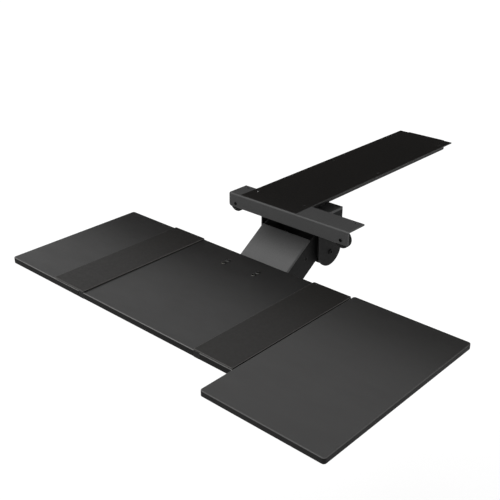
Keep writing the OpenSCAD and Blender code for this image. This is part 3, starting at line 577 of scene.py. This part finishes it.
def make_bumper_screws():
    """Screws of the bumpers in the bar's face, in place of their plain node."""
    low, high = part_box("bumper_screws")
    face_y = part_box("front_bar")[0].y
    head_r = (high.z - low.z) / 2
    z = (low.z + high.z) / 2
    places = [facing(FRONT, (x, face_y, z)) for x in (low.x + head_r, high.x - head_r)]
    screws("bumper_screw_set", "root", places, head_r, face_y - low.y, high.y - face_y, "bumper_screws")


def make_stop_screw():
    """Stop screw in the right wing, in place of its plain node."""
    low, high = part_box("wing_stop_screw")
    wing_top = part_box("wing_right_panel")[1].z
    middle = (low + high) / 2
    place = facing(UP, (middle.x, middle.y, wing_top))
    screws("stop_screw_set", "wing_right", [place], (high.x - low.x) / 2, high.z - wing_top,
           wing_top - low.z, "wing_stop_screw")


def make_guide_screws():
    """Screws in the guide blocks' feet."""
    low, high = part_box("runner_guides")
    foot_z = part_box("middle_deck")[0].z - GUIDE_FOOT_T
    inner = high.x - GUIDE_LEN
    xs = [side * x for side in (-1, 1) for x in (inner + GUIDE_SCREW_INSET, high.x - GUIDE_SCREW_INSET)]
    half = GUIDE_FOOT_W / 2
    ys = [low.y + half, low.y + GUIDE_FULL_W - half, high.y - GUIDE_FULL_W + half, high.y - half]
    places = [facing(DOWN, (x, y, foot_z)) for x in xs for y in ys]
    screws("guide_screw_set", "tray", places, GUIDE_HEAD_R, GUIDE_HEAD_H, 2 * GUIDE_FOOT_T)


def make_pivots():
    """Pivot bolts of the arm, the links and the head, in place of their plain pins."""
    for node, shank_r in PIVOT_SHANKS.items():
        low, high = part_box(node)
        made = bmesh.new()
        pivot_bolt(made, facing(RIGHT, (low + high) / 2), shank_r, high.x - PIVOT_HEAD_H,
                   (high.z - low.z) / 2, PIVOT_HEAD_H)
        shade_flat_faces(add_piece(node.replace("_pin", "_bolt"), made, BODY_OF[node], "black_screw", node))


def weld_bead(made, start, end, first, second):
    """Rippled fillet along a corner; first and second point out of it along its two faces."""
    start, end = Vector(start), Vector(end)
    legs = Vector(first), Vector(second)
    count = max(2, round((end - start).length / BEAD_PITCH)) * BEAD_STEPS
    sections = []
    for i in range(count + 1):
        phase = 2 * math.pi * i / BEAD_STEPS
        leg = BEAD_LEG * (1 + BEAD_RIPPLE * (math.cos(phase) - 1) / 2)
        corner = start.lerp(end, i / count)
        arc = [math.pi / 2 * k / (BEAD_POINTS - 1) for k in range(BEAD_POINTS)]
        points = [corner] + [corner + leg * (legs[0] * math.cos(a) + legs[1] * math.sin(a)) for a in arc]
        sections.append([made.verts.new(p) for p in points])
    for near, far in zip(sections, sections[1:]):
        for k in range(len(near)):
            n = (k + 1) % len(near)
            made.faces.new((near[k], near[n], far[n], far[k])).smooth = True
    made.faces.new(list(reversed(sections[0])))
    made.faces.new(sections[-1])
    bmesh.ops.recalc_face_normals(made, faces=made.faces[:])


def make_bracket_welds():
    """Beads inside the swivel bracket, where the side ones end inside the rear one."""
    plate_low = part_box("swivel_plate")[0].z
    cheek_low, cheek_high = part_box("cheek_right")
    inner = cheek_low.x
    rear_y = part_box("bracket_web")[1].y - (cheek_high.x - cheek_low.x)
    front_y = cheek_low.y + BEAD_MARGIN
    side_end_y = rear_y - BEAD_LEG / 2
    made = bmesh.new()
    for side in (-1, 1):
        weld_bead(made, (side * inner, front_y, plate_low), (side * inner, side_end_y, plate_low),
                  (-side, 0, 0), DOWN)
    weld_bead(made, (-inner, rear_y, plate_low), (inner, rear_y, plate_low), FRONT, DOWN)
    add_piece("bracket_welds", made, "swivel", "grey_steel")


def make_ear_welds():
    """Beads between the ears and their plate."""
    plate_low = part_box("tray_plate")[0].z
    ear_low, ear_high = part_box("tray_ear_right")
    front_y, rear_y = ear_low.y + BEAD_MARGIN, ear_high.y - BEAD_MARGIN
    made = bmesh.new()
    for side in (-1, 1):
        x = side * ear_high.x
        weld_bead(made, (x, front_y, plate_low), (x, rear_y, plate_low), (side, 0, 0), DOWN)
    add_piece("ear_welds", made, "tray", "black_steel")


def seen_rays(tree):
    """Socket that is 1 on rays from the camera, off a mirror or through glass."""
    rays = tree.nodes.new("ShaderNodeLightPath")
    seen = rays.outputs["Is Camera Ray"]
    for other in ("Is Glossy Ray", "Is Transmission Ray"):
        both = tree.nodes.new("ShaderNodeMath")
        both.operation = "MAXIMUM"
        tree.links.new(seen, both.inputs[0])
        tree.links.new(rays.outputs[other], both.inputs[1])
        seen = both.outputs[0]
    return seen


def make_world():
    """Even light from all round, and white where the camera or a reflection looks past the object."""
    world = bpy.data.worlds.new("studio")
    bpy.context.scene.world = world
    world.use_nodes = True
    tree = world.node_tree
    background = tree.nodes["Background"]
    background.inputs["Color"].default_value = grey(1.0)
    level = tree.nodes.new("ShaderNodeMapRange")
    level.inputs["To Min"].default_value = WORLD_LIGHT
    level.inputs["To Max"].default_value = 1.0
    tree.links.new(seen_rays(tree), level.inputs["Value"])
    tree.links.new(level.outputs[0], background.inputs["Strength"])


def make_floor():
    """White floor that takes the object's soft shadow."""
    made = bmesh.new()
    bmesh.ops.create_grid(made, x_segments=1, y_segments=1, size=FLOOR_HALF)
    mesh = bpy.data.meshes.new("floor")
    made.to_mesh(mesh)
    made.free()
    floor = bpy.data.objects.new("floor", mesh)
    floor.location.z = FLOOR_Z
    bpy.context.scene.collection.objects.link(floor)
    look = Finish("floor_white", Base_Color=grey(FLOOR_COLOUR), Roughness=STAGE_ROUGH,
                  Specular_IOR_Level=0.0, Emission_Color=grey(1.0))
    look.set("Emission Strength", look.span(seen_rays(look.tree), 0, 1, 0, FLOOR_GLOW))
    mesh.materials.append(look.material)


def make_flag():
    """Dark flag that keeps the white background out of the reflections towards the tray's rear."""
    made = bmesh.new()
    corners = [(-FLAG_SIDE, FLAG_FRONT), (FLAG_SIDE, FLAG_FRONT),
               (FLAG_SIDE, FLAG_REAR), (-FLAG_SIDE, FLAG_REAR)]
    made.faces.new([made.verts.new((x, y, FLAG_Z)) for x, y in corners])
    mesh = bpy.data.meshes.new("flag")
    made.to_mesh(mesh)
    made.free()
    look = Finish("flag_dark", Base_Color=FLAG_COLOUR, Roughness=STAGE_ROUGH, Specular_IOR_Level=0.0)
    mesh.materials.append(look.material)
    flag = bpy.data.objects.new("flag", mesh)
    for rays in ("camera", "diffuse", "shadow", "transmission", "volume_scatter"):
        setattr(flag, "visible_" + rays, False)
    bpy.context.scene.collection.objects.link(flag)


def make_lights():
    """A soft key from the front."""
    key = bpy.data.lights.new("key", "SUN")
    key.energy = KEY_STRENGTH
    key.angle = math.radians(KEY_SOFTNESS)
    lamp = bpy.data.objects.new("key", key)
    lamp.rotation_mode = "QUATERNION"
    lamp.rotation_quaternion = Vector(KEY_FROM).to_track_quat("Z", "Y")
    bpy.context.scene.collection.objects.link(lamp)


def make_camera():
    """Camera at the photograph's place and angle."""
    data = bpy.data.cameras.new("camera")
    data.lens = CAMERA_LENS
    data.sensor_width = CAMERA_SENSOR
    camera = bpy.data.objects.new("camera", data)
    turn = Matrix.Rotation(math.radians(CAMERA_YAW), 4, "Z")
    tip = Matrix.Rotation(math.radians(90 - CAMERA_PITCH), 4, "X")
    roll = Matrix.Rotation(math.radians(CAMERA_ROLL), 4, "Z")
    camera.matrix_world = Matrix.Translation(CAMERA_AT) @ turn @ tip @ roll
    bpy.context.scene.collection.objects.link(camera)
    bpy.context.scene.camera = camera


finish_nodes()
make_deck_screws()
make_bumper_screws()
make_stop_screw()
make_guide_screws()
make_pivots()
make_bracket_welds()
make_ear_welds()
make_world()
make_floor()
make_flag()
make_lights()
make_camera()
bpy.context.scene.view_settings.view_transform = "Standard"
